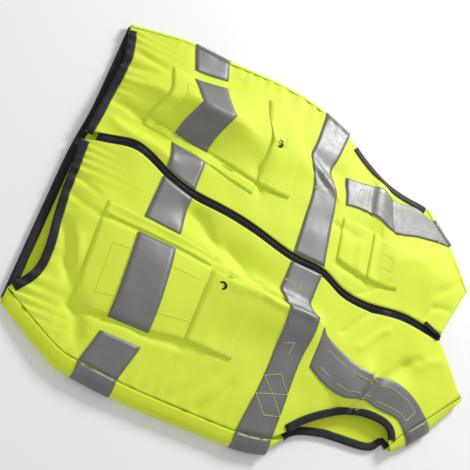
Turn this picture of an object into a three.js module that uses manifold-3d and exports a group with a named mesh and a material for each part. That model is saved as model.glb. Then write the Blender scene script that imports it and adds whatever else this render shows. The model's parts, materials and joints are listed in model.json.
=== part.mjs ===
// A sleeveless work vest lying on its back, its front up, with its hem toward -Y and its neck toward +Y.
// Millimetres, +Z up. The wearer's left half is the +X half. The back lies flat on the surface, the two
// fronts lie loosely on it, and the back's side edges and shoulders turn up over the sides to meet them.
import * as THREE from "three";
import { mergeVertices } from "three/addons/utils/BufferGeometryUtils.js";
import Module from "manifold-3d";

const wasm = await Module();
wasm.setup();

// Driving dimensions
const CLOTH = 1.2; // wall of the yellow cloth
const TAPE = 1.0; // wall of the reflective tape, the pockets and the flaps
const GAP = 0.3; // air between a piece and what it lies on
const SEAM_GAP = 1.3; // between the edges of the back and the fronts, measured between their walls' middles
const BACK_LEVEL = TAPE + GAP + CLOTH / 2; // middle of the back's wall, whose tapes lie on the surface
const SEAM_LEVEL = 14; // middle of the wall where a front meets the back, at the side and shoulder
const ZIP_OPENING = 13; // black width that shows between the two fronts
const ZIP_COIL = 5;
const ZIP_TAPE_UNDER = 12; // how far from the zip's middle each zip tape reaches
const BINDING_LEG = 9; // width of a binding on each face of the cloth
const BINDING_WALL = 1;
const BINDING_GAP = 0.45;
const POCKET_BULGE = 4;
const SNAP_RADIUS = 6.5;
const SNAP_HEIGHT = 2.4;
const TAB_LENGTH = 30;
const TAB_WIDTH = 7;

const YELLOW = { color: 0xdcf03c, roughness: 0.75, metalness: 0 };
const GREY = { color: 0x84847f, roughness: 0.45, metalness: 0.1 };
const BLACK = { color: 0x1d1c22, roughness: 0.7, metalness: 0 };
const BLACK_METAL = { color: 0x2a2a30, roughness: 0.35, metalness: 0.8 };

// Sections across the fronts, from hem to shoulder: the zip's middle, then on each side the lines of the
// inner and the outer edge of the pocket, or of the shoulder tape, and the side seam, armhole or shoulder
// end. The neck point is halfway from the zip to the inner line where it isn't given. Height is that of
// the wall's middle along the zip, rim its height at the edge, and steps the facets up to the next section.
const SECTIONS = [
  { at: "hem", zip: [-13, -179], height: 11, rim: 8, steps: 3,
    left: { inner: [78, -175], outer: [160, -166], edge: [201, -187] },
    right: { inner: [-75, -175], outer: [-150, -171], edge: [-196, -181] } },
  { at: "pocket_low", zip: [-32, -115], height: 20, rim: 13, steps: 2,
    left: { inner: [79, -124], outer: [191, -118], edge: [240, -114] },
    right: { inner: [-82, -118], outer: [-168, -110], edge: [-215, -118] } },
  { at: "waist_low", zip: [-15, -72], height: 23, rim: 14, steps: 2,
    left: { inner: [77, -77], outer: [188, -75], edge: [245, -87] },
    right: { inner: [-80, -76], outer: [-166, -78], edge: [-221, -90] } },
  { at: "waist_high", zip: [-5, -27], height: 24, rim: 14, steps: 2,
    left: { inner: [75, -26], outer: [186, -23], edge: [249, -38] },
    right: { inner: [-74, -26], outer: [-182, -29], edge: [-227, -36] } },
  { at: "flap_low", zip: [-6, 28], height: 25, rim: 14, steps: 2,
    left: { inner: [78, 24], outer: [176, 21], edge: [250, 10] },
    right: { inner: [-66, 50], outer: [-205, 36], edge: [-241, 32] } },
  { at: "flap_high", zip: [1, 90], height: 26, rim: 14, steps: 2,
    left: { inner: [80, 84], outer: [174, 86], edge: [249, 78] },
    right: { inner: [-70, 102], outer: [-212, 98], edge: [-246, 90] } },
  { at: "chest_low", zip: [8, 130], height: 26, rim: 14, steps: 2,
    left: { inner: [76, 124], outer: [150, 138], edge: [248, 121] },
    right: { inner: [-110, 136], outer: [-158, 124], edge: [-242, 132] } },
  { at: "chest_high", zip: [5, 180], height: 25, rim: 14, steps: 2,
    left: { inner: [76, 172], outer: [132, 178], edge: [240, 170] },
    right: { inner: [-107, 176], outer: [-155, 164], edge: [-231, 178] } },
  { at: "armhole_low", zip: [18, 215], height: 24, rim: 13, steps: 2,
    left: { inner: [88, 208], outer: [146, 212], edge: [206, 208] },
    right: { inner: [-118, 212], outer: [-163, 214], edge: [-211, 213] } },
  { at: "armhole_middle", zip: [20, 252], height: 23, rim: 13, steps: 2,
    left: { inner: [104, 254], outer: [156, 258], edge: [174, 258] },
    right: { inner: [-120, 250], outer: [-176, 252], edge: [-194, 254] } },
  { at: "tape_fold", zip: [14, 288], height: 22, rim: 13, steps: 2,
    left: { inner: [112, 292], outer: [144, 285], edge: [163, 290] },
    right: { inner: [-113, 290], outer: [-168, 282], edge: [-188, 290] } },
  { at: "armhole_high", zip: [5, 325], height: 20, rim: 13, steps: 2,
    left: { inner: [98, 324], outer: [146, 322], edge: [160, 322] },
    right: { inner: [-129, 325], outer: [-181, 320], edge: [-190, 320] } },
  { at: "yoke", zip: [3, 365], height: 17, rim: 14, steps: 2,
    left: { neck: [56, 384], inner: [106, 368], outer: [146, 350], edge: [166, 342] },
    right: { neck: [-70, 388], inner: [-143, 372], outer: [-177, 342], edge: [-190, 334] } },
  { at: "shoulder", zip: [2, 406], height: 13, rim: 14, steps: 0,
    left: { neck: [72, 458], inner: [128, 401], outer: [160, 366], edge: [184, 346] },
    right: { neck: [-90, 442], inner: [-149, 396], outer: [-175, 358], edge: [-188, 343] } },
];

// The largest folds, each along a straight line: half widths on the left and on the right of the way from
// start to end, height (a trough's is below zero), and how far it carries the cloth sideways in X and Y.
const FOLDS = [
  { name: "lap_beside_left_flap", from: [83, 58], to: [74, 178], left: 14, right: 70, height: 15, carry: [0, 12] },
  { name: "lap_across_left_tape", from: [112, 290], to: [156, 277], left: 14, right: 46, height: 12, carry: [0, 0] },
  { name: "left_yoke_dimple", from: [52, 366], to: [84, 342], left: 16, right: 14, height: -7, carry: [0, 0] },
  { name: "left_front_hollow", from: [24, -20], to: [52, 96], left: 22, right: 26, height: -8, carry: [0, 0] },
  { name: "left_hem_fold", from: [104, -158], to: [214, -110], left: 14, right: 20, height: -7, carry: [0, 0] },
  { name: "left_hem_swell", from: [60, -142], to: [176, -140], left: 16, right: 16, height: 5, carry: [0, 0] },
  { name: "right_waist_ridge", from: [-112, -158], to: [-122, 30], left: 58, right: 24, height: 19, carry: [0, 15] },
  { name: "right_front_hollow", from: [-58, -160], to: [-72, -40], left: 22, right: 24, height: -9, carry: [0, 0] },
  { name: "right_flap_swell", from: [-140, 40], to: [-150, 110], left: 46, right: 40, height: 7, carry: [0, 0] },
  { name: "right_chest_dip", from: [-162, 110], to: [-150, 176], left: 26, right: 20, height: -6, carry: [0, -5] },
  { name: "right_tape_lap", from: [-120, 244], to: [-186, 244], left: 14, right: 34, height: 8, carry: [0, 0] },
  { name: "right_chest_swell", from: [-70, 290], to: [-80, 400], left: 60, right: 60, height: 8, carry: [0, 0] },
];

const LINES_ACROSS = ["zip", "neck", "inner", "outer", "edge"];
// Places of the grid's lines across a front, in the numbering of LINES_ACROSS: 0 is the zip, 4 the edge.
const ZIP_LINE = 0;
const PLEAT_LINE = 1.62; // inner fold of a lower pocket's side gusset, and the chest pocket's outer edge
const GRID_ACROSS = [ZIP_LINE, 0.5, 1, 1.31, PLEAT_LINE, 2, 2.25, 2.5, 2.75, 3, 3.25, 3.5, 3.75, 4];

// Places of the grid's lines along a front, in the numbering of SECTIONS.
const GRID_ALONG = SECTIONS.flatMap((section, index) =>
  Array.from({ length: Math.max(section.steps, 1) }, (_, step) => index + step / Math.max(section.steps, 1))
);
const place = (name) => SECTIONS.findIndex((section) => section.at === name);

const clamp = (value, low, high) => Math.min(high, Math.max(low, value));
const bell = (t) => (Math.abs(t) < 1 ? 0.5 + 0.5 * Math.cos(Math.PI * t) : 0);

// The three effects of the folds at a point of the plan.
function foldsAt(x, y) {
  const effect = { x: 0, y: 0, z: 0 };
  for (const fold of FOLDS) {
    const dx = fold.to[0] - fold.from[0];
    const dy = fold.to[1] - fold.from[1];
    const length = Math.hypot(dx, dy);
    const along = ((x - fold.from[0]) * dx + (y - fold.from[1]) * dy) / length;
    const leftward = ((y - fold.from[1]) * dx - (x - fold.from[0]) * dy) / length;
    const side = leftward > 0 ? leftward / fold.left : leftward / fold.right;
    const beyond = along < 0 ? -along : Math.max(along - length, 0);
    const strength = bell(side) * bell(beyond / 28);
    effect.x += fold.carry[0] * strength;
    effect.y += fold.carry[1] * strength;
    effect.z += fold.height * strength;
  }
  return effect;
}

function sectionPoint(section, side, line) {
  const half = section[side];
  if (line === "zip") return section.zip;
  if (line === "neck" && !half.neck) return [0, 1].map((axis) => (section.zip[axis] + half.inner[axis]) / 2);
  return half[line];
}

// Smooth curves along the front through the same named point of every section.
const alongCurves = {};
for (const side of ["left", "right"]) {
  alongCurves[side] = LINES_ACROSS.map((line) => new THREE.CatmullRomCurve3(
    SECTIONS.map((section) => new THREE.Vector3(...sectionPoint(section, side, line), 0)), false, "catmullrom", 0.5
  ));
}
const levelCurve = new THREE.CatmullRomCurve3(
  SECTIONS.map((section) => new THREE.Vector3(section.height, section.rim, 0)), false, "catmullrom", 0.5
);

// Middle of a front's wall. Across runs from 0 at the zip to 4 at the edge, along from 0 at the hem.
function frontPoint(side, across, along) {
  const share = along / (SECTIONS.length - 1);
  const knots = alongCurves[side].map((curve) => curve.getPoint(share));
  const smooth = new THREE.CatmullRomCurve3(knots, false, "catmullrom", 0.5).getPoint(across / 4);
  const first = Math.min(3, Math.floor(across));
  const straight = knots[first].clone().lerp(knots[first + 1], across - first);
  const corner = clamp(along - place("yoke"), 0, 1);
  const point = smooth.lerp(straight, corner);
  const level = levelCurve.getPoint(share);
  const edgeShare = clamp(Math.abs(point.x - knots[0].x) / Math.abs(knots[4].x - knots[0].x), 0, 1);
  const calm = clamp(Math.min(along / 1.2, (SECTIONS.length - 1 - along) / 1.2, (4 - across) / 0.9), 0, 1);
  const folds = foldsAt(point.x, point.y);
  point.x += folds.x * calm;
  point.y += folds.y * calm;
  point.z = THREE.MathUtils.lerp(level.x, level.y, edgeShare ** 3) + folds.z * calm;
  return point;
}

// The same with the zip's opening taken off: place 0 is the front's own edge beside the zip.
function frontClothPoint(side, across, along) {
  const point = frontPoint(side, across, along);
  const shift = (side === "left" ? 1 : -1) * (ZIP_OPENING / 2) * clamp(1 - across / 1, 0, 1);
  point.x += shift;
  return point;
}

function surfaceNormal(pointAt, a, b, aRange, bRange) {
  const step = 0.04;
  const a1 = Math.min(a + step, aRange[1]);
  const a0 = Math.max(a - step, aRange[0]);
  const b1 = Math.min(b + step, bRange[1]);
  const b0 = Math.max(b - step, bRange[0]);
  const across = pointAt(a1, b).sub(pointAt(a0, b));
  const along = pointAt(a, b1).sub(pointAt(a, b0));
  return across.cross(along).normalize();
}

const LAST = SECTIONS.length - 1;
const frontCache = new Map();
// A front's point with its upward normal.
function front(side, across, along) {
  const key = `${side}/${across}/${along}`;
  if (!frontCache.has(key)) {
    const normal = surfaceNormal((a, b) => frontClothPoint(side, a, b), across, along, [0, 4], [0, LAST]);
    if (normal.z < 0) normal.negate();
    frontCache.set(key, { point: frontClothPoint(side, across, along), normal });
  }
  return frontCache.get(key);
}
const raised = (frame, height) => frame.point.clone().addScaledVector(frame.normal, height);

// Geometry makers

function closedGeometry(points, triangles) {
  const geometry = new THREE.BufferGeometry();
  geometry.setAttribute("position", new THREE.Float32BufferAttribute(points.flatMap((p) => [p.x, p.y, p.z]), 3));
  const volume = triangles.reduce((sum, [a, b, c]) =>
    sum + points[a].dot(new THREE.Vector3().crossVectors(points[b], points[c])), 0);
  const outward = volume > 0 ? triangles : triangles.map(([a, b, c]) => [a, c, b]);
  geometry.setIndex(outward.flat());
  return geometry;
}

// A wall between two grids of points with the same rows and columns.
function wall(upper, lower) {
  const rows = upper.length;
  const columns = upper[0].length;
  const points = [...upper.flat(), ...lower.flat()];
  const id = (layer, row, column) => layer * rows * columns + row * columns + column;
  const triangles = [];
  const quad = (a, b, c, d) => triangles.push([a, b, c], [a, c, d]);
  for (let row = 0; row + 1 < rows; row += 1) {
    for (let column = 0; column + 1 < columns; column += 1) {
      quad(id(0, row, column), id(0, row, column + 1), id(0, row + 1, column + 1), id(0, row + 1, column));
      const under = [id(1, row, column), id(1, row, column + 1), id(1, row + 1, column + 1), id(1, row + 1, column)];
      triangles.push([under[0], under[2], under[1]], [under[0], under[3], under[2]]);
    }
  }
  for (let column = 0; column + 1 < columns; column += 1) {
    quad(id(0, 0, column + 1), id(0, 0, column), id(1, 0, column), id(1, 0, column + 1));
    const end = rows - 1;
    quad(id(0, end, column), id(0, end, column + 1), id(1, end, column + 1), id(1, end, column));
  }
  for (let row = 0; row + 1 < rows; row += 1) {
    quad(id(0, row, 0), id(0, row + 1, 0), id(1, row + 1, 0), id(1, row, 0));
    const end = columns - 1;
    quad(id(0, row + 1, end), id(0, row, end), id(1, row, end), id(1, row + 1, end));
  }
  return closedGeometry(points, triangles);
}

// A closed section carried from frame to frame, with flat ends. A frame has a point and two directions.
function loft(outline, frames) {
  const clockwise = THREE.ShapeUtils.isClockWise(outline.map(([a, b]) => new THREE.Vector2(a, b)));
  const section = clockwise ? [...outline].reverse() : outline;
  const count = section.length;
  const points = frames.flatMap((frame) => section.map(([a, b]) =>
    frame.point.clone().addScaledVector(frame.out, a).addScaledVector(frame.up, b)));
  const triangles = [];
  for (let ring = 0; ring + 1 < frames.length; ring += 1) {
    for (let i = 0; i < count; i += 1) {
      const j = (i + 1) % count;
      const base = ring * count;
      triangles.push([base + i, base + j, base + count + j], [base + i, base + count + j, base + count + i]);
    }
  }
  const caps = THREE.ShapeUtils.triangulateShape(section.map(([a, b]) => new THREE.Vector2(a, b)), []);
  const last = (frames.length - 1) * count;
  for (const [a, b, c] of caps) {
    triangles.push([a, c, b], [last + a, last + b, last + c]);
  }
  return closedGeometry(points, triangles);
}

const between = (grid, low, high) => grid.filter((value) => value >= low - 1e-9 && value <= high + 1e-9);

// A piece of cloth lying on a front over a rectangle of its grid. Height gives the height of its lower
// face above the front's outer face at a place, and wallThickness its thickness.
function onFront(side, across, along, height, wallThickness = TAPE) {
  const acrossLines = between(GRID_ACROSS, ...across);
  const alongLines = between(GRID_ALONG, ...along);
  const layer = (extra) => alongLines.map((b) => acrossLines.map((a) =>
    raised(front(side, a, b), CLOTH / 2 + height(a, b) + extra)));
  return wall(layer(wallThickness), layer(0));
}

// Pieces

const vest = new THREE.Group();
function addPiece(name, geometry, look) {
  const material = new THREE.MeshStandardMaterial({ color: look.color, roughness: look.roughness, metalness: look.metalness });
  const mesh = new THREE.Mesh(geometry, material);
  mesh.name = name;
  vest.add(mesh);
  return mesh;
}

// A front's wall, or with extra the room that it needs with the air round it.
function frontPanel(side, extra = 0) {
  const layer = (height) => GRID_ALONG.map((b) => GRID_ACROSS.map((a) => raised(front(side, a, b), height)));
  return wall(layer(CLOTH / 2 + extra), layer(-CLOTH / 2 - extra));
}

// The back. Above the underarm it lies flat out to its own armhole edge; below, each side turns up to the
// fronts' side seam, and at the top each shoulder turns up to the shoulder seam. Reach is how far a turned-up
// edge stands out beyond its seam.
const UNDERARM = place("chest_high");
const BACK_ARMHOLE = [
  { along: UNDERARM + 0.5, left: [232, 192], right: [-223, 192], level: 7.6 },
  { along: place("armhole_low"), left: [217, 208], right: [-212, 210], level: BACK_LEVEL },
  { along: place("armhole_middle"), left: [206, 250], right: [-198, 250], level: BACK_LEVEL },
  { along: place("tape_fold"), left: [203, 285], right: [-193, 286], level: BACK_LEVEL },
  { along: place("armhole_high"), left: [201, 312], right: [-193, 314], level: BACK_LEVEL },
  { along: place("yoke"), left: [196, 330], right: [-194, 330], level: BACK_LEVEL },
];
const SIDE_REACH = { left: 14, right: 3 };
const SHOULDER = {
  left: { outward: new THREE.Vector3(0.7, 0.714, 0), reach: [1, 3, 13, 13, 5] },
  right: { outward: new THREE.Vector3(-0.8, 0.6, 0), reach: [1, 3, 8, 8, 4] },
};
const NECK_EDGE_BEHIND = 6; // how far the back's neck edge lies behind the fronts' in the plan
const TURNS = [0, 0.25, 0.5, 0.75, 1]; // steps of a turned-up edge, from flat below to the seam above
const EDGE_PITCH = 5; // spacing of those steps where they lie flat in the back's edge

// A point of a turned-up edge: below it at turn 0, at the seam above at turn 1.
function turnedUp(seam, outward, reach, turn) {
  const radius = (seam.z - BACK_LEVEL) / 2;
  const angle = Math.PI * (turn - 0.5);
  const over = (reach + radius) * Math.cos(angle) - (1 - turn) * radius;
  const point = seam.clone().addScaledVector(outward, over);
  point.z = BACK_LEVEL + radius * (1 + Math.sin(angle));
  return point;
}

// One half of a row of the back, from the middle to the edge: four flat places, then the turned-up ones.
const BACK_SHARES = [0, 0.25, 0.5, 0.75];
function backRow(side, along) {
  const sign = side === "left" ? 1 : -1;
  const outward = new THREE.Vector3(sign, 0, 0);
  let edge;
  if (along <= UNDERARM) {
    const seam = front(side, 4, along).point.clone().addScaledVector(outward, SEAM_GAP);
    edge = TURNS.map((turn) => turnedUp(seam, outward, SIDE_REACH[side], turn));
  } else {
    const row = BACK_ARMHOLE.find((candidate) => candidate.along === along);
    const share = (row.level - BACK_LEVEL) / SEAM_LEVEL;
    edge = TURNS.map((turn) => {
      const inset = (1 - turn) * EDGE_PITCH * (TURNS.length - 1);
      return new THREE.Vector3(row[side][0] - sign * inset, row[side][1], BACK_LEVEL + share * SEAM_LEVEL * turn ** 2);
    });
  }
  const flat = BACK_SHARES.map((part) => new THREE.Vector3(edge[0].x * part, edge[0].y, BACK_LEVEL));
  return [...flat, ...edge];
}

// A row of a turned-up shoulder. Its places are those of the fronts' top edge, the neck point being the second.
const SHOULDER_PLACES = [0, 1, 2, 3, 3.2, 3.4, 3.6, 3.8, 4];
function shoulderRow(side, turn) {
  const { outward, reach } = SHOULDER[side];
  return SHOULDER_PLACES.map((across) => {
    const seam = front(side, across, LAST).point.clone();
    if (across === 0) return new THREE.Vector3(0, seam.y - NECK_EDGE_BEHIND - (1 - turn) * 16, BACK_LEVEL);
    const first = Math.min(3, Math.floor(across));
    const out = THREE.MathUtils.lerp(reach[first], reach[first + 1], across - first);
    return turnedUp(seam.addScaledVector(outward, SEAM_GAP), outward, out, turn);
  });
}

const backAlong = [...GRID_ALONG.filter((along) => along <= UNDERARM), ...BACK_ARMHOLE.map((row) => row.along)];
const backHalf = (side) => [...backAlong.map((along) => backRow(side, along)), ...TURNS.map((turn) => shoulderRow(side, turn))];
const rightHalf = backHalf("right");
const leftHalf = backHalf("left");
const backGrid = rightHalf.map((row, index) => [...row.slice(1).reverse(), ...leftHalf[index]]);
const BACK_ROWS = backGrid.length;
const BACK_COLUMNS = backGrid[0].length;
const MIDDLE_COLUMN = (BACK_COLUMNS - 1) / 2;
const backRowAt = (along) => backAlong.indexOf(along);

// Normals of the back's grid, out of the garment: down where it lies on the surface.
const backNormals = backGrid.map((row, r) => row.map((_, c) => {
  const acrossGrid = backGrid[r][Math.min(c + 1, BACK_COLUMNS - 1)].clone().sub(backGrid[r][Math.max(c - 1, 0)]);
  const alongGrid = backGrid[Math.min(r + 1, BACK_ROWS - 1)][c].clone().sub(backGrid[Math.max(r - 1, 0)][c]);
  return alongGrid.cross(acrossGrid).normalize();
}));
const onBackAt = (r, c, height) => backGrid[r][c].clone().addScaledVector(backNormals[r][c], height);

// A piece over a block of the back's grid, between two heights above the middle of the back's wall.
function onBack(rows, columns, low, high) {
  const layer = (height) => {
    const lines = [];
    for (let r = rows[0]; r <= rows[1]; r += 1) {
      const line = [];
      for (let c = columns[0]; c <= columns[1]; c += 1) line.push(onBackAt(r, c, height));
      lines.push(line);
    }
    return lines;
  };
  return wall(layer(high), layer(low));
}

const backPanel = (extra = 0) =>
  onBack([0, BACK_ROWS - 1], [0, BACK_COLUMNS - 1], -CLOTH / 2 - extra, CLOTH / 2 + extra);

// The room below the surface that the vest lies on.
const belowSurface = () => new THREE.BoxGeometry(1000, 1000, 20).translate(0, 0, -10);

// Folded binding: a channel round the cloth's edge. Section in [outward, up].
function bindingSection() {
  const inside = CLOTH / 2 + BINDING_GAP;
  const outside = inside + BINDING_WALL;
  return [
    [-BINDING_LEG, outside], [BINDING_WALL + GAP, outside], [BINDING_WALL + GAP, -outside], [-BINDING_LEG, -outside],
    [-BINDING_LEG, -inside], [GAP, -inside], [GAP, inside], [-BINDING_LEG, inside],
  ];
}

// Frames along an edge, given the edge's points, the next points inward and the normals.
function edgeFrames(edge, inner, normals) {
  return edge.map((point, i) => {
    const before = edge[Math.max(i - 1, 0)];
    const after = edge[Math.min(i + 1, edge.length - 1)];
    const tangent = after.clone().sub(before).normalize();
    const out = point.clone().sub(inner[i]);
    out.addScaledVector(tangent, -out.dot(tangent)).normalize();
    const up = normals[i].clone();
    up.addScaledVector(tangent, -up.dot(tangent)).addScaledVector(out, -up.dot(out)).normalize();
    return { point, out, up };
  });
}

function frontEdgeFrames(side, places, inward) {
  const edge = places.map(([a, b]) => front(side, a, b));
  const inner = places.map(([a, b]) => front(side, ...inward(a, b)).point);
  return edgeFrames(edge.map((frame) => frame.point), inner, edge.map((frame) => frame.normal));
}

function frontHemBinding(side) {
  const places = [...GRID_ACROSS.slice(0, -1), 3.88].map((a) => [a, 0]);
  const binding = loft(bindingSection(), frontEdgeFrames(side, places, (a, b) => [a, b + 0.33]));
  return cutBy(binding, frontPanel(side, GAP));
}

function frontArmholeBinding(side) {
  const stations = [UNDERARM + 0.5, ...GRID_ALONG.filter((b) => b > UNDERARM + 0.6 && b < LAST - 0.4), LAST - 0.35];
  const binding = loft(bindingSection(), frontEdgeFrames(side, stations.map((b) => [4, b]), (a, b) => [a - 0.25, b]));
  return cutBy(binding, frontPanel(side, GAP));
}

function backHemBinding() {
  const columns = Array.from({ length: BACK_COLUMNS - 6 }, (_, c) => c + 3);
  const frames = edgeFrames(columns.map((c) => backGrid[0][c]), columns.map((c) => backGrid[1][c]),
    columns.map((c) => backNormals[0][c]));
  return cutBy(loft(bindingSection(), frames), backPanel(1.5 * GAP), belowSurface());
}

function backArmholeBinding(side) {
  const column = side === "left" ? BACK_COLUMNS - 1 : 0;
  const inwardColumn = side === "left" ? column - 1 : 1;
  const rows = [];
  for (let r = backRowAt(UNDERARM + 0.5); r <= BACK_ROWS - 4; r += 1) rows.push(r);
  const frames = edgeFrames(rows.map((r) => backGrid[r][column]), rows.map((r) => backGrid[r][inwardColumn]),
    rows.map((r) => backNormals[r][column]));
  return cutBy(loft(bindingSection(), frames), backPanel(1.5 * GAP), belowSurface());
}

// The zip. Its places are millimetres across from its middle, at the front's grid lines along.
function zipFrame(along) {
  const left = front("left", 0, along);
  const right = front("right", 0, along);
  const point = left.point.clone().add(right.point).multiplyScalar(0.5);
  const out = left.point.clone().sub(right.point).normalize();
  const up = left.normal.clone().add(right.normal);
  up.addScaledVector(out, -up.dot(out)).normalize();
  return { point, out, up };
}
const ZIP_ALONG = GRID_ALONG.filter((along) => along > 0.2 && along < LAST - 0.05);
ZIP_ALONG.unshift(0.22);
ZIP_ALONG.push(LAST - 0.04);
const zipFrames = ZIP_ALONG.map(zipFrame);

function zipTape(side) {
  const sign = side === "left" ? 1 : -1;
  const inner = ZIP_COIL / 2 + GAP;
  const top = -(CLOTH / 2 + 0.6);
  const section = [[inner, top], [ZIP_TAPE_UNDER, top], [ZIP_TAPE_UNDER, top - TAPE], [inner, top - TAPE]];
  return cutBy(loft(section.map(([a, b]) => [a * sign, b]), zipFrames), frontPanel(side, GAP));
}

function zipCoil() {
  const half = ZIP_COIL / 2;
  return loft([[half, -2.2], [half, -0.6], [half * 0.5, 0.3], [-half * 0.5, 0.3], [-half, -0.6], [-half, -2.2]], zipFrames);
}

// Slider and pull tab, in a frame of their own: +Y along the zip toward the neck, +Z off the cloth.
const SLIDER = { width: 9, length: 12, bottom: 0.7, top: 2.6, arch: 4.4, archWidth: 2, archHalfLength: 4 };
const TAB_BAR_LEVEL = SLIDER.top + 1.8;
const TAB_BAR_RADIUS = 0.7;
const TAB_EYE_HALF_WIDTH = 2.1;

function toManifold(geometry) {
  const bare = geometry.clone();
  bare.deleteAttribute("normal");
  bare.deleteAttribute("uv");
  const merged = mergeVertices(bare, 1e-4);
  return new wasm.Manifold(new wasm.Mesh({
    numProp: 3,
    vertProperties: new Float32Array(merged.attributes.position.array),
    triVerts: new Uint32Array(merged.index.array),
  }));
}

function fromManifold(solid) {
  const mesh = solid.getMesh();
  const geometry = new THREE.BufferGeometry();
  geometry.setAttribute("position", new THREE.BufferAttribute(Float32Array.from(mesh.vertProperties), 3));
  geometry.setIndex(new THREE.BufferAttribute(Uint32Array.from(mesh.triVerts), 1));
  return geometry;
}

// A piece with its neighbour's room taken off, keeping its largest body.
function cutBy(geometry, ...rooms) {
  const rest = rooms.reduce((solid, room) => solid.subtract(toManifold(room)), toManifold(geometry));
  const bodies = rest.decompose().sort((a, b) => b.volume() - a.volume());
  return fromManifold(bodies[0]);
}

function extruded(outline, holes, depth) {
  const shape = new THREE.Shape(outline.map(([x, y]) => new THREE.Vector2(x, y)));
  for (const hole of holes) shape.holes.push(new THREE.Path(hole.map(([x, y]) => new THREE.Vector2(x, y))));
  return new THREE.ExtrudeGeometry(shape, { depth, bevelEnabled: false, steps: 1 });
}

function sliderBody() {
  const { width, length, bottom, top, arch, archWidth, archHalfLength } = SLIDER;
  const nose = width * 0.3;
  const plate = extruded([
    [-nose, -length / 2], [nose, -length / 2], [width / 2, -length / 6], [width / 2, length / 2],
    [-width / 2, length / 2], [-width / 2, -length / 6],
  ], [], top - bottom).translate(0, 0, bottom);
  const wallOfArch = 1.1;
  const profile = extruded([
    [-archHalfLength, top - 0.4], [archHalfLength, top - 0.4], [archHalfLength, top + arch - 1.4],
    [archHalfLength - 1.4, top + arch], [1.4 - archHalfLength, top + arch], [-archHalfLength, top + arch - 1.4],
  ], [[
    [wallOfArch - archHalfLength, top + 0.5], [archHalfLength - wallOfArch, top + 0.5],
    [archHalfLength - wallOfArch, top + arch - 2], [archHalfLength - 2, top + arch - wallOfArch],
    [2 - archHalfLength, top + arch - wallOfArch], [wallOfArch - archHalfLength, top + arch - 2],
  ]], archWidth);
  // The profile is drawn in [along, up]; it is turned so that its depth runs across the zip.
  profile.rotateX(Math.PI / 2).rotateZ(Math.PI / 2).translate(-archWidth / 2, 0, 0);
  return fromManifold(toManifold(plate).add(toManifold(profile)));
}

// The tab lies toward the hem from its bar, which is its hinge. Its own origin is the bar's middle.
function pullTab() {
  const half = TAB_WIDTH / 2;
  const eye = TAB_EYE_HALF_WIDTH;
  const plate = extruded([
    [-eye - 1, -8], [-half, -12], [-half, 2 - TAB_LENGTH], [2 - half, -TAB_LENGTH], [half - 2, -TAB_LENGTH],
    [half, 2 - TAB_LENGTH], [half, -12], [eye + 1, -8], [eye + 1, TAB_BAR_RADIUS], [-eye - 1, TAB_BAR_RADIUS],
  ], [[[-eye, -6.2], [eye, -6.2], [eye, -TAB_BAR_RADIUS], [-eye, -TAB_BAR_RADIUS]]], 1.4).translate(0, 0, -0.7);
  return fromManifold(toManifold(plate));
}

// Height of the lower pockets' outer face above the front's outer face: most in the middle.
const pocketReach = (across, along) => {
  const low = place("pocket_low");
  const high = place("flap_high");
  const alongShare = clamp((along - low) / (high - 0.5 - low), 0, 1);
  const acrossShare = clamp(across - 2, 0, 1);
  return POCKET_BULGE * Math.sin(Math.PI * acrossShare) * Math.sin(Math.PI * alongShare);
};
const SNAP_PLACES = { left: [2.2, place("flap_low") + 0.3], right: [2.5, place("flap_low") + 0.3] };
const BACK_TAPE_LAYER = [CLOTH / 2 + GAP, CLOTH / 2 + GAP + TAPE];
const SLIDER_SETBACK = 0.22; // the slider's place below the top of the zip, in sections
const TAB_SWING = 0.26; // how far the tab lies off the zip's line, toward the wearer's right
const TAB_SLOPE = 0.05;
const onCloth = () => GAP;
const overPocket = (a, b) => pocketReach(a, b) + TAPE + 2 * GAP;

// A lower pocket and its flap; extra is the air taken with them.
function lowerPocket(side, extra = 0) {
  return onFront(side, [2, 3], [place("pocket_low"), POCKET_TOP], (a, b) => GAP + pocketReach(a, b) - extra, TAPE + 2 * extra);
}
// The pocket's side gusset, seen between its inner fold and the pocket's edge.
function lowerGusset(side) {
  const alongLines = between(GRID_ALONG, place("pocket_low"), place("flap_low"));
  const layer = (height) => alongLines.map((b) => [PLEAT_LINE + 0.04, 1.95].map((a) =>
    raised(front(side, a, b), CLOTH / 2 + height)));
  return cutBy(wall(layer(GAP + TAPE), layer(GAP)), frontPanel(side, GAP), lowerPocket(side, GAP));
}

function lowerFlap(side, extra = 0) {
  return onFront(side, [2, 3], [place("flap_low"), place("flap_high")],
    (a, b) => (b > POCKET_TOP ? GAP : overPocket(a, b)) - extra, TAPE + 2 * extra);
}

// A snap's cap: a dished round button, turned to lie on the flap.
function snapOn(side, across, along) {
  const frame = front(side, across, along);
  const profile = [[0, 0], [SNAP_RADIUS, 0], [SNAP_RADIUS, 0.9], [SNAP_RADIUS - 1.2, SNAP_HEIGHT],
    [SNAP_RADIUS - 3, SNAP_HEIGHT], [SNAP_RADIUS - 3.8, SNAP_HEIGHT - 0.9], [0, SNAP_HEIGHT - 0.9]];
  const cap = new THREE.LatheGeometry(profile.map(([r, z]) => new THREE.Vector2(r, z)), 20);
  const lift = CLOTH / 2 + overPocket(across, along) + TAPE;
  const turn = new THREE.Quaternion().setFromUnitVectors(new THREE.Vector3(0, 1, 0), frame.normal);
  cap.applyQuaternion(turn);
  cap.translate(...raised(frame, lift).toArray());
  return cutBy(cap, lowerFlap(side, GAP), lowerPocket(side, GAP), frontPanel(side, GAP));
}
const POCKET_TOP = place("flap_low") + 0.5;

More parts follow.
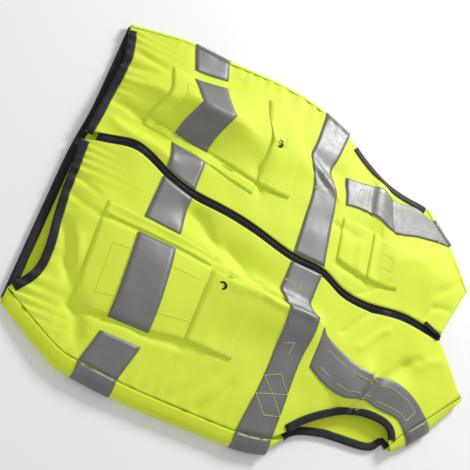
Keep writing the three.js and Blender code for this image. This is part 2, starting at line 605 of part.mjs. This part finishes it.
function build() {
  for (const side of ["right", "left"]) addPiece(`front_${side}`, frontPanel(side), YELLOW);
  addPiece("back", backPanel(), YELLOW);

  const waist = [place("waist_low"), place("waist_high")];
  const chest = [place("chest_low"), place("chest_high")];
  const pocketLow = place("pocket_low");
  for (const side of ["right", "left"]) {
    addPiece(`waist_tape_front_${side}`, onFront(side, [0, PLEAT_LINE], waist, onCloth), GREY);
    addPiece(`waist_tape_pocket_${side}`, onFront(side, [2, 3], waist, overPocket), GREY);
    addPiece(`waist_tape_side_${side}`, onFront(side, [3.25, 4], waist, onCloth), GREY);
    addPiece(`chest_tape_${side}`, onFront(side, [0, 4], chest, onCloth), GREY);
    addPiece(`shoulder_tape_front_${side}`, onFront(side, [2, 3], [chest[1] + 0.5, LAST], onCloth), GREY);
    addPiece(`lower_pocket_${side}`, lowerPocket(side), YELLOW);
    addPiece(`lower_pocket_gusset_${side}`, lowerGusset(side), YELLOW);
    addPiece(`lower_flap_${side}`, lowerFlap(side), YELLOW);
    addPiece(`snap_${side}`, snapOn(side, ...SNAP_PLACES[side]), BLACK_METAL);
    addPiece(`hem_binding_front_${side}`, frontHemBinding(side), BLACK);
    addPiece(`armhole_binding_front_${side}`, frontArmholeBinding(side), BLACK);
    addPiece(`armhole_binding_back_${side}`, backArmholeBinding(side), BLACK);
    addPiece(`zip_tape_${side}`, zipTape(side), BLACK);
    const tapeColumns = side === "right" ? [2, 3].map((c) => MIDDLE_COLUMN - c) : [2, 3].map((c) => MIDDLE_COLUMN + c);
    const shoulderRows = [backRowAt(chest[1]) + 1, BACK_ROWS - 1];
    const backTape = onBack(shoulderRows, tapeColumns.sort((a, b) => a - b), ...BACK_TAPE_LAYER);
    addPiece(`shoulder_tape_back_${side}`, backTape, GREY);
  }
  addPiece("hem_binding_back", backHemBinding(), BLACK);
  const wholeWidth = [0, BACK_COLUMNS - 1];
  addPiece("waist_tape_back", onBack(waist.map(backRowAt), wholeWidth, ...BACK_TAPE_LAYER), GREY);
  addPiece("chest_tape_back", onBack(chest.map(backRowAt), wholeWidth, ...BACK_TAPE_LAYER), GREY);

  const chestRows = [chest[1] + 0.5, place("tape_fold")];
  addPiece("chest_pocket", onFront("right", [0.5, PLEAT_LINE], chestRows, onCloth), YELLOW);
  addPiece("chest_flap", onFront("right", [0.5, PLEAT_LINE], [place("armhole_middle"), place("tape_fold") + 0.5],
    (a, b) => (b > place("tape_fold") ? GAP : TAPE + 2 * GAP)), YELLOW);

  addPiece("zip_coil", zipCoil(), BLACK);
  const seat = zipFrame(LAST - SLIDER_SETBACK);
  const turn = new THREE.Matrix4().makeBasis(seat.out, seat.up.clone().cross(seat.out), seat.up);
  const slider = addPiece("zip_slider", sliderBody(), BLACK_METAL);
  slider.quaternion.setFromRotationMatrix(turn);
  slider.position.copy(seat.point);
  const tab = addPiece("zip_pull_tab", pullTab(), BLACK_METAL);
  tab.quaternion.setFromRotationMatrix(turn);
  tab.rotateZ(-TAB_SWING);
  tab.rotateX(TAB_SLOPE);
  tab.position.copy(seat.point).addScaledVector(seat.up, TAB_BAR_LEVEL);
}
build();

// The origin is the middle of the underside of the whole garment's box.
const box = new THREE.Box3().setFromObject(vest);
vest.position.set(-(box.min.x + box.max.x) / 2, -(box.min.y + box.max.y) / 2, -box.min.z);
vest.updateMatrixWorld(true);
export default vest;
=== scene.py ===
# %% [markdown]
# # A work vest, laid flat
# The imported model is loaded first. It stays as it is, and the cloth, stitches and zip chain made here lie
# on it, in metres, in the same frame.
# %% Load the frame
import json
import math
import bmesh
import bpy
import numpy as np
from mathutils import Matrix, Vector


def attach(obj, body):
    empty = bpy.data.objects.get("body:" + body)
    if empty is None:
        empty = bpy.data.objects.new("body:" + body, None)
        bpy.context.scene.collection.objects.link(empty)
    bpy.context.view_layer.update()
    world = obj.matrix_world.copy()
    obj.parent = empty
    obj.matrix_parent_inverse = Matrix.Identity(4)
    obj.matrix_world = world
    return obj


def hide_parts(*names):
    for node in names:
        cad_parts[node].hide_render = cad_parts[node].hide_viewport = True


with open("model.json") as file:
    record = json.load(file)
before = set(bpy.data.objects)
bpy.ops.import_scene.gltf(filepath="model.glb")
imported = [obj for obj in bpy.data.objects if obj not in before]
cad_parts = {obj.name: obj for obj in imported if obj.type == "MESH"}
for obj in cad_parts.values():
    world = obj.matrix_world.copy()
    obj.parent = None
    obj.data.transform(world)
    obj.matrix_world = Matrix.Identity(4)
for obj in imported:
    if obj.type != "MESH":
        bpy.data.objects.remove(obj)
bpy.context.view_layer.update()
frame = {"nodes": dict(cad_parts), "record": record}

MM = 0.001
NODES = sorted(frame["nodes"])

# %% [markdown]
# ## Creases
# Each crease is a soft trough or ridge along a line of the plan. The rows give its start and end, its half
# width and its height, in millimetres: a trough's height is below zero. Every piece on the fronts is moved
# by the same function of its place, so tapes, pockets and flaps stay on the cloth below them.
# %% The crease table
CREASES = [
    # name, start x, start y, end x, end y, half width, height
    ("hem_left_deep", 98, -296, 150, -268, 9, -3.6),
    ("hem_left_curve", 146, -272, 212, -236, 10, -4.2),
    ("hem_left_ridge", 110, -278, 170, -262, 9, 3.0),
    ("hem_left_tuck", 60, -300, 72, -262, 6, -2.2),
    ("hem_left_tuck_two", 36, -304, 44, -276, 5, -1.9),
    ("pocket_left_fold", 178, -120, 186, -256, 6, -2.4),
    ("pocket_left_inner", 58, -250, 56, -40, 5, -1.8),
    ("left_front_diagonal", 12, -150, 64, -36, 11, -3.8),
    ("left_front_diagonal_two", 24, -120, 46, -84, 8, 2.2),
    ("left_lap_shadow", 68, -84, 64, 34, 6, -4.6),
    ("left_lap_crest", 78, -78, 74, 36, 7, 3.4),
    ("left_side_pucker", 196, -40, 236, -70, 7, -2.2),
    ("left_side_pucker_two", 190, -66, 234, -104, 8, -2.0),
    ("left_side_pucker_three", 204, -10, 240, -24, 6, -1.8),
    ("left_side_pucker_four", 196, -118, 238, -140, 7, -1.8),
    ("left_flap_sag", 96, -92, 160, -88, 9, 1.6),
    ("left_tape_notch", 104, 156, 150, 140, 6, -5.0),
    ("left_tape_crest", 100, 148, 146, 130, 8, 2.6),
    ("left_chest_pull", 62, 96, 14, 138, 5, -2.0),
    ("left_chest_pull_two", 70, 128, 30, 166, 7, 1.9),
    ("left_yoke_hollow", 46, 232, 78, 204, 8, -4.2),
    ("left_yoke_line", 60, 214, 96, 176, 7, -2.2),
    ("left_neck_soft", 30, 268, 52, 236, 8, 1.8),
    ("right_ridge_crest", -122, -292, -130, -112, 10, 3.2),
    ("right_ridge_foot", -84, -296, -88, -170, 9, -3.8),
    ("right_hollow_point", -122, -222, -84, -240, 6, -2.6),
    ("right_hollow_spur", -108, -200, -80, -214, 5, -1.8),
    ("right_zip_swell", -56, -286, -44, -214, 9, 2.6),
    ("right_flap_edge", -100, -92, -66, -78, 6, -2.6),
    ("right_flap_spread", -176, -60, -120, -74, 12, 1.8),
    ("right_side_fold", -216, -150, -186, -206, 8, -2.0),
    ("right_hem_tuck", -176, -302, -168, -262, 7, -2.4),
    ("right_hem_tuck_two", -146, -300, -150, -272, 6, -1.9),
    ("right_tape_dart", -160, -8, -122, 40, 6, 2.6),
    ("right_tape_dart_two", -150, -16, -128, 16, 4, -2.2),
    ("right_tape_step", -184, 98, -130, 100, 5, -3.0),
    ("right_tape_step_two", -176, 138, -118, 152, 5, -2.4),
    ("right_chest_bag", -80, 50, -82, 84, 6, -2.2),
    ("right_chest_bag_top", -72, 92, -30, 100, 6, 2.2),
    ("right_chest_bag_side", -24, 62, -20, 118, 5, -2.0),
    ("right_chest_mouth", -110, 124, -38, 130, 5, -1.6),
    ("right_zip_pull", -36, 152, 2, 104, 5, -1.8),
    ("right_neck_crease", -54, 276, -44, 246, 5, -2.6),
    ("right_neck_crease_two", -44, 246, -22, 232, 4, -1.6),
    ("right_yoke_long", -104, 284, -66, 246, 8, -2.0),
    ("right_yoke_soft", -120, 230, -90, 180, 12, 1.8),
]
CREASE_ROWS = np.array([row[1:] for row in CREASES]) * MM
WAVER = 0.22  # how far a crease strays from its line, as a share of its half width
FALL = 1.6  # how fast a crease dies away past its half width
HEM_LINE, HEM_REACH, HEM_GATHER = -0.305, 0.022, 0.0017
SIDE_LINE, SIDE_REACH, SIDE_GATHER, SIDE_TOP = 0.246, 0.016, 0.0012, 0.05
print("creases", len(CREASES))


def crease_height(points):
    """How far each point of the fronts is raised, in metres."""
    height = np.zeros(len(points))
    for x0, y0, x1, y1, width, rise in CREASE_ROWS:
        dx, dy = x1 - x0, y1 - y0
        length = math.hypot(dx, dy)
        along = ((points[:, 0] - x0) * dx + (points[:, 1] - y0) * dy) / length
        # The line wavers a little, as cloth does.
        waver = WAVER * width * np.sin(along * 95 + x0 * 60)
        off = ((points[:, 0] - x0) * dy - (points[:, 1] - y0) * dx) / length + waver
        beyond = np.maximum(np.maximum(-along, along - length), 0) / (FALL * width)
        height += rise * np.exp(-((off / width) ** 2) * FALL - beyond**2 * FALL)
    x, y = points[:, 0], points[:, 1]
    # Broad unevenness, then the gathers that run up from the elastic hem and in from the side seams.
    height += 0.0009 * np.sin(38 * x + 21 * y + 1.3) * np.sin(27 * y - 12 * x)
    height += 0.00045 * np.sin(96 * x - 41 * y + 0.6) * np.sin(71 * y + 33 * x + 2.1)
    hem = np.exp(-np.clip(y - HEM_LINE, 0, 1) / HEM_REACH)
    height += HEM_GATHER * hem * np.sin(430 * x + 3.0 * np.sin(61 * x)) * (0.55 + 0.45 * np.sin(37 * x + 1))
    side = np.exp(-np.clip(SIDE_LINE - np.abs(x), 0, 1) / SIDE_REACH) * (y < SIDE_TOP)
    height += SIDE_GATHER * side * np.sin(300 * y + 2.5 * np.sin(48 * y))
    return height


def lay_on_creases(mesh):
    """Raise a mesh's points with the cloth of the fronts."""
    co = np.empty(len(mesh.vertices) * 3)
    mesh.vertices.foreach_get("co", co)
    co = co.reshape(-1, 3)
    co[:, 2] += crease_height(co)
    mesh.vertices.foreach_set("co", co.ravel())


# %% [markdown]
# ## Cloth from the solids
# Each piece starts as the faces of its own solid, merged and turned back into four-sided faces. Its sharp
# rim keeps a crease, and the subdivided surface is then moved by the creases.
# %% The cloth maker
SHARP, QUAD_BEND, QUAD_SKEW = (math.radians(angle) for angle in (50, 40, 60))
MERGE = 0.002 * MM


def place_mesh(bm, name, material, levels, moved):
    """Subdivide a bmesh into a finished object whose place is in its mesh."""
    crease = bm.edges.layers.float.new("crease_edge")
    for edge in bm.edges:
        angle = edge.calc_face_angle(0.0)
        edge[crease] = 1.0 if angle > SHARP or edge.is_boundary else 0.0
    mesh = bpy.data.meshes.new(name)
    bm.to_mesh(mesh)
    bm.free()
    piece = bpy.data.objects.new(name, mesh)
    bpy.context.scene.collection.objects.link(piece)
    smooth = piece.modifiers.new("smooth", "SUBSURF")
    smooth.levels = smooth.render_levels = levels
    bpy.context.view_layer.update()
    evaluated = piece.evaluated_get(bpy.context.evaluated_depsgraph_get())
    finished = bpy.data.meshes.new_from_object(evaluated)
    piece.modifiers.clear()
    piece.data = finished
    if moved:
        lay_on_creases(finished)
    finished.polygons.foreach_set("use_smooth", [True] * len(finished.polygons))
    finished.materials.clear()
    finished.materials.append(material)
    finished.update()
    return piece


def node_bmesh(node):
    bm = bmesh.new()
    bm.from_mesh(frame["nodes"][node].data)
    bmesh.ops.remove_doubles(bm, verts=bm.verts, dist=MERGE)
    bmesh.ops.recalc_face_normals(bm, faces=bm.faces)
    bmesh.ops.join_triangles(bm, faces=bm.faces, angle_face_threshold=QUAD_BEND,
                             angle_shape_threshold=QUAD_SKEW)
    return bm


def cloth_from(node, material, levels, moved):
    """The visible cloth of one solid."""
    piece = place_mesh(node_bmesh(node), "cloth_" + node, material, levels, moved)
    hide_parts(node)
    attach(piece, "vest")
    return piece


# %% [markdown]
# ## Shader maths
# Numbers in a material are written as sums and products of a small class, whose operators add Math nodes.
# Any other node is made by one method of the material.
# %% The shader class
class Value:
    def __init__(self, tree, socket):
        self.tree, self.socket = tree, socket

    def math(self, operation, other=None):
        node = self.tree.nodes.new("ShaderNodeMath")
        node.operation = operation
        for slot_index, item in enumerate((self, other)):
            if item is None:
                continue
            if isinstance(item, Value):
                self.tree.links.new(item.socket, node.inputs[slot_index])
            else:
                node.inputs[slot_index].default_value = item
        return Value(self.tree, node.outputs[0])

    def __add__(self, other):
        return self.math("ADD", other)

    def __mul__(self, other):
        return self.math("MULTIPLY", other)

    __radd__, __rmul__ = __add__, __mul__

    def sin(self):
        return self.math("SINE")

class Material:
    def __init__(self, name, **constants):
        self.material = bpy.data.materials.new(name)
        self.material.use_nodes = True
        self.tree = self.material.node_tree
        self.shader = self.tree.nodes["Principled BSDF"]
        for key, value in constants.items():
            self.shader.inputs[key.replace("_", " ")].default_value = value
        self.place = self.node("ShaderNodeTexCoord").outputs["Object"]

    def node(self, kind, inputs=None, **settings):
        made = self.tree.nodes.new(kind)
        for key, value in settings.items():
            setattr(made, key, value)
        for key, value in (inputs or {}).items():
            if isinstance(value, Value):
                value = value.socket
            if isinstance(value, bpy.types.NodeSocket):
                self.tree.links.new(value, made.inputs[key])
            else:
                made.inputs[key].default_value = value
        return made

    def axis(self, index):
        split = self.node("ShaderNodeSeparateXYZ", {"Vector": self.place})
        return Value(self.tree, split.outputs[index])

    def noise(self, scale, detail=3.0):
        made = self.node("ShaderNodeTexNoise", {"Vector": self.place, "Scale": scale, "Detail": detail})
        return Value(self.tree, made.outputs["Fac"])

    def mix(self, factor, first, second):
        made = self.node("ShaderNodeMix", data_type="RGBA")
        self.tree.links.new(factor.socket, made.inputs[0])
        made.inputs[6].default_value = (*first, 1)
        made.inputs[7].default_value = (*second, 1)
        return made.outputs[2]

    def colour(self, socket):
        self.tree.links.new(socket, self.shader.inputs["Base Color"])

    def rough(self, value):
        self.tree.links.new(value.socket, self.shader.inputs["Roughness"])

    def bump(self, height, distance, strength=1.0):
        made = self.node("ShaderNodeBump", {"Height": height, "Distance": distance, "Strength": strength})
        self.tree.links.new(made.outputs[0], self.shader.inputs["Normal"])


def weave(material, pitch):
    """Threads both ways, as a height from 0 to 1."""
    turns = 2 * math.pi / pitch
    warp = (material.axis(0) * turns).sin()
    weft = (material.axis(1) * turns).sin()
    return (warp * weft) * 0.5 + 0.5


# %% [markdown]
# ## Materials
# The yellow cloth is a fine plain weave with a faint slub. Its fluorescent yellow gets a painted glow, a
# little emission that makes it shine whatever light falls on it. The tape is grey with fine glass beads, and
# the bindings are ribbed black elastic.
# %% Make the materials
def yellow_cloth():
    made = Material("yellow_cloth", Sheen_Weight=0.25, Sheen_Roughness=0.4, Emission_Strength=0.05,
                    Specular_IOR_Level=0.25)
    # Painted glow: the emission brightens the cloth whatever light falls on it.
    made.shader.inputs["Emission Color"].default_value = (0.75, 1.0, 0.02, 1)
    patches = made.noise(9.0, 4.0)
    made.colour(made.mix(patches, (0.66, 0.78, 0.035), (0.74, 0.86, 0.075)))
    made.rough(made.noise(60.0) * 0.2 + 0.55)
    made.bump(weave(made, 0.0011) + made.noise(260.0) * 0.8, 0.00012, 0.5)
    return made.material


def shaded_inner_cloth():
    made = Material("yellow_cloth_inside_painted_shade", Sheen_Weight=0.15, Specular_IOR_Level=0.2, Emission_Strength=0.05)
    # Painted shade: a darker copy of the yellow cloth for the back's inner face in the hollow. The emission
    # is a painted glow.
    made.shader.inputs["Emission Color"].default_value = (0.8, 0.95, 0.02, 1)
    made.colour(made.mix(made.noise(12.0), (0.60, 0.72, 0.030), (0.70, 0.80, 0.045)))
    made.rough(made.noise(60.0) * 0.2 + 0.6)
    made.bump(weave(made, 0.0011), 0.00012, 0.5)
    return made.material


def reflective_tape():
    made = Material("reflective_tape", Metallic=0.25, Specular_IOR_Level=0.6)
    made.colour(made.mix(made.noise(26.0, 5.0), (0.155, 0.155, 0.150), (0.225, 0.225, 0.215)))
    made.rough(made.noise(90.0) * 0.22 + 0.36)
    made.bump(made.noise(2400.0, 1.0) + weave(made, 0.0009) * 0.4, 0.00008, 0.6)
    return made.material


def black_binding():
    made = Material("binding", Sheen_Weight=0.35, Sheen_Roughness=0.35, Specular_IOR_Level=0.3)
    made.colour(made.mix(made.noise(120.0), (0.008, 0.0075, 0.011), (0.020, 0.019, 0.026)))
    made.rough(made.noise(200.0) * 0.3 + 0.5)
    made.bump(weave(made, 0.0013) + made.noise(400.0) * 0.5, 0.0002, 0.8)
    return made.material


def thread():
    made = Material("thread", Specular_IOR_Level=0.3)
    made.colour(made.mix(made.noise(300.0), (0.70, 0.80, 0.10), (0.85, 0.92, 0.30)))
    made.rough(made.noise(500.0) * 0.2 + 0.5)
    return made.material


def black_metal():
    made = Material("zip_metal", Metallic=0.7, Coat_Weight=0.4)
    made.colour(made.mix(made.noise(140.0), (0.014, 0.014, 0.018), (0.030, 0.030, 0.036)))
    made.rough(made.noise(260.0) * 0.2 + 0.26)
    made.bump(made.noise(900.0), 0.00005, 0.4)
    return made.material


YELLOW, INSIDE_SHADED, TAPE = yellow_cloth(), shaded_inner_cloth(), reflective_tape()
BLACK, THREAD, METAL = black_binding(), thread(), black_metal()
print("materials", len(bpy.data.materials))

# %% [markdown]
# ## The cloth pieces
# %% Build every cloth piece
SLOTS = {row["node"]: row["material_slot"] for row in frame["record"]["subparts"]}
LOOKS = {"yellow_cloth": YELLOW, "reflective_tape": TAPE, "binding": BLACK, "zip": BLACK}
CLOTH_LEVELS = 2
FINER_LEVELS = {"front_left": 3, "front_right": 3}
ON_BACK = ("back", "armhole_binding_back", "hem_binding_back", "waist_tape_back", "chest_tape_back",
           "shoulder_tape_back")
for node in NODES:
    slot = SLOTS[node]
    if slot not in LOOKS:
        continue
    # The back gets the darker copy of the yellow cloth, painted shade for its inner face.
    look = INSIDE_SHADED if node == "back" else LOOKS[slot]
    on_front = not node.startswith(ON_BACK)
    cloth_from(node, look, FINER_LEVELS.get(node, CLOTH_LEVELS), on_front)

# %% [markdown]
# ## Stitches
# A tape, pocket or flap is sewn down just inside its edge. Its upper faces are inset by the seam's depth,
# and short stitches are laid along the edges of what is left.
# %% Stitch maker
STITCH = (2.6 * MM, 0.55 * MM, 0.45 * MM)
STITCH_PITCH = 3.6 * MM
TAPE_SEAM, POCKET_SEAM = 1.8 * MM, 2.2 * MM
TAPE_LIFT, POCKET_LIFT = 0.15 * MM, 0.1 * MM
SAME_POINT = 0.02 * MM
SKIN_TURN = math.radians(50)


def small_blocks(bm, name, material):
    """One piece of small blocks that lies on the cloth of the fronts."""
    mesh = bpy.data.meshes.new(name)
    bm.to_mesh(mesh)
    bm.free()
    lay_on_creases(mesh)
    mesh.materials.append(material)
    piece = bpy.data.objects.new(name, mesh)
    bpy.context.scene.collection.objects.link(piece)
    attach(piece, "vest")
    return piece


def row_of_blocks(bm, start, end, pitch, block, axis, lift=0.0):
    """Blocks of one size, spaced along a straight run and turned to it."""
    run = end - start
    count = max(1, round(run.length / pitch))
    turn = run.to_track_quat(axis, "Z").to_matrix().to_4x4()
    for index in range(count):
        middle = start + run * ((index + 0.5) / count) + Vector((0, 0, lift))
        place = Matrix.Translation(middle) @ turn @ Matrix.Diagonal((*block, 1))
        bmesh.ops.create_cube(bm, size=1, matrix=place)


def upper_skin(bm):
    """The smooth patch of faces that faces up the most."""
    left, best, most = set(bm.faces), [], 0
    for seed in bm.faces:
        if seed not in left:
            continue
        left.discard(seed)
        patch = [seed]
        for face in patch:
            for edge in face.edges:
                if edge.is_manifold and edge.calc_face_angle() < SKIN_TURN:
                    for other in edge.link_faces:
                        if other in left:
                            left.discard(other)
                            patch.append(other)
        rise = sum(face.calc_area() * face.normal.z for face in patch)
        if rise > most:
            best, most = patch, rise
    return best


def seam_paths(node, depth):
    """The edges of a node's upper skin, moved in by the depth of the seam."""
    bm = node_bmesh(node)
    bmesh.ops.remove_doubles(bm, verts=bm.verts, dist=SAME_POINT)
    bm.normal_update()
    skin = set(upper_skin(bm))
    bmesh.ops.delete(bm, geom=[face for face in bm.faces if face not in skin], context="FACES")
    bmesh.ops.inset_region(bm, faces=bm.faces[:], thickness=depth, use_even_offset=True)
    rim = {face for face in bm.faces if any(edge.is_boundary for edge in face.edges)}
    inner = [edge for edge in bm.edges if len({face in rim for face in edge.link_faces}) == 2]
    paths = [(edge.verts[0].co.copy(), edge.verts[1].co.copy()) for edge in inner]
    bm.free()
    return paths


def stitches(name, nodes, depth, lift):
    bm = bmesh.new()
    for node in nodes:
        for start, end in seam_paths(node, depth):
            row_of_blocks(bm, start, end, STITCH_PITCH, STITCH, "X", lift)
    return small_blocks(bm, name, THREAD)


FRONT_TAPES = [node for node in NODES if SLOTS[node] == "reflective_tape" and not node.startswith(ON_BACK)]
LOWER_POCKETS = ("lower_pocket_left", "lower_pocket_right")
SEWN_POCKETS = [node for node in NODES if "flap" in node or node in LOWER_POCKETS]
tape_stitches = stitches("tape_stitches", FRONT_TAPES, TAPE_SEAM, TAPE_LIFT)
pocket_stitches = stitches("pocket_stitches", SEWN_POCKETS, POCKET_SEAM, POCKET_LIFT)
print("stitch faces", len(tape_stitches.data.polygons), len(pocket_stitches.data.polygons))

# %% [markdown]
# ## Zip chain
# The chain's teeth are a ladder of small blocks along the middle of the coil's solid.
# %% Build the teeth
TOOTH_PITCH = 1.9 * MM
TOOTH = (4.2 * MM, 1.1 * MM, 0.9 * MM)
TOOTH_BEVEL = 0.25 * MM


def zip_teeth():
    coil = frame["nodes"]["zip_coil"].data
    co = np.array([vertex.co for vertex in coil.vertices])
    level = np.round(co[:, 1], 3)
    route = [Vector((co[level == y, 0].mean(), y, co[level == y, 2].max())) for y in np.unique(level)]
    bm = bmesh.new()
    for start, end in zip(route, route[1:]):
        row_of_blocks(bm, start, end, TOOTH_PITCH, TOOTH, "Y")
    bmesh.ops.bevel(bm, geom=bm.edges[:], offset=TOOTH_BEVEL, segments=1, profile=0.5, affect="EDGES",
                    material=-1)
    return small_blocks(bm, "zip_teeth", METAL)


teeth = zip_teeth()
print("teeth faces", len(teeth.data.polygons))

# %% [markdown]
# ## Hard pieces
# The slider, the pull tab and the snaps keep their own solids and get the black enamel.
# %% Dress the hard pieces
for node in NODES:
    if SLOTS[node] in ("zip_metal", "snap"):
        data = frame["nodes"][node].data
        data.materials.clear()
        data.materials.append(METAL)
print("hard pieces dressed")


# %% [markdown]
# ## Studio
# A plain white floor, a low light from the wearer's right, a wide fill light and an even sky. The camera
# looks down at the vest from the wearer's left, hem side, turned so that the hem lies up and to the left.
# %% Floor, lights and camera
FLOOR_HALF, FLOOR_DROP = 6, 0.0005
SKY_STRENGTH = 0.45
AZIMUTH, ELEVATION, ROLL = (math.radians(angle) for angle in (54.3, 54.3, 58.5))
DISTANCE = 1.020
SENSOR, FOCAL = 36, 59.4

floor_mesh = bpy.data.meshes.new("floor")
floor_bm = bmesh.new()
bmesh.ops.create_grid(floor_bm, x_segments=1, y_segments=1, size=FLOOR_HALF)
floor_bm.to_mesh(floor_mesh)
floor_bm.free()
floor = bpy.data.objects.new("floor", floor_mesh)
bpy.context.scene.collection.objects.link(floor)
floor.location.z = -FLOOR_DROP
floor_look = Material("floor", Roughness=0.9, Specular_IOR_Level=0.1)
floor_look.colour(floor_look.mix(floor_look.noise(0.5), (0.92, 0.92, 0.92), (0.94, 0.94, 0.94)))
floor_mesh.materials.append(floor_look.material)

world = bpy.data.worlds.new("studio")
bpy.context.scene.world = world
world.use_nodes = True
world.node_tree.nodes["Background"].inputs["Color"].default_value = (1, 1, 1, 1)
world.node_tree.nodes["Background"].inputs["Strength"].default_value = SKY_STRENGTH


def soft_light(name, place, size, power):
    data = bpy.data.lights.new(name, "AREA")
    data.size = size
    data.energy = power
    lamp = bpy.data.objects.new(name, data)
    bpy.context.scene.collection.objects.link(lamp)
    lamp.location = place
    lamp.rotation_euler = (-Vector(place)).to_track_quat("-Z", "Y").to_euler()


soft_light("key", (-1.5, 0.8, 0.95), 0.5, 34)
soft_light("fill", (1.2, -1.4, 2.0), 1.8, 10)

back_way = Vector((math.sin(AZIMUTH) * math.cos(ELEVATION), -math.cos(AZIMUTH) * math.cos(ELEVATION),
                   math.sin(ELEVATION)))
level_right = (-back_way).cross(Vector((0, 0, 1))).normalized()
level_up = level_right.cross(-back_way)
right = level_right * math.cos(ROLL) + level_up * math.sin(ROLL)
up = level_up * math.cos(ROLL) - level_right * math.sin(ROLL)
target = Vector((-0.0033, -0.0841, 0))
lens = bpy.data.cameras.new("camera")
lens.sensor_width = SENSOR
lens.lens = FOCAL
camera = bpy.data.objects.new("camera", lens)
bpy.context.scene.collection.objects.link(camera)
facing = Matrix((right, up, back_way)).transposed().to_4x4()
camera.matrix_world = Matrix.Translation(target + back_way * DISTANCE) @ facing
bpy.context.scene.camera = camera
bpy.context.scene.view_settings.view_transform = "Standard"
print("camera", [round(value, 3) for value in camera.location])
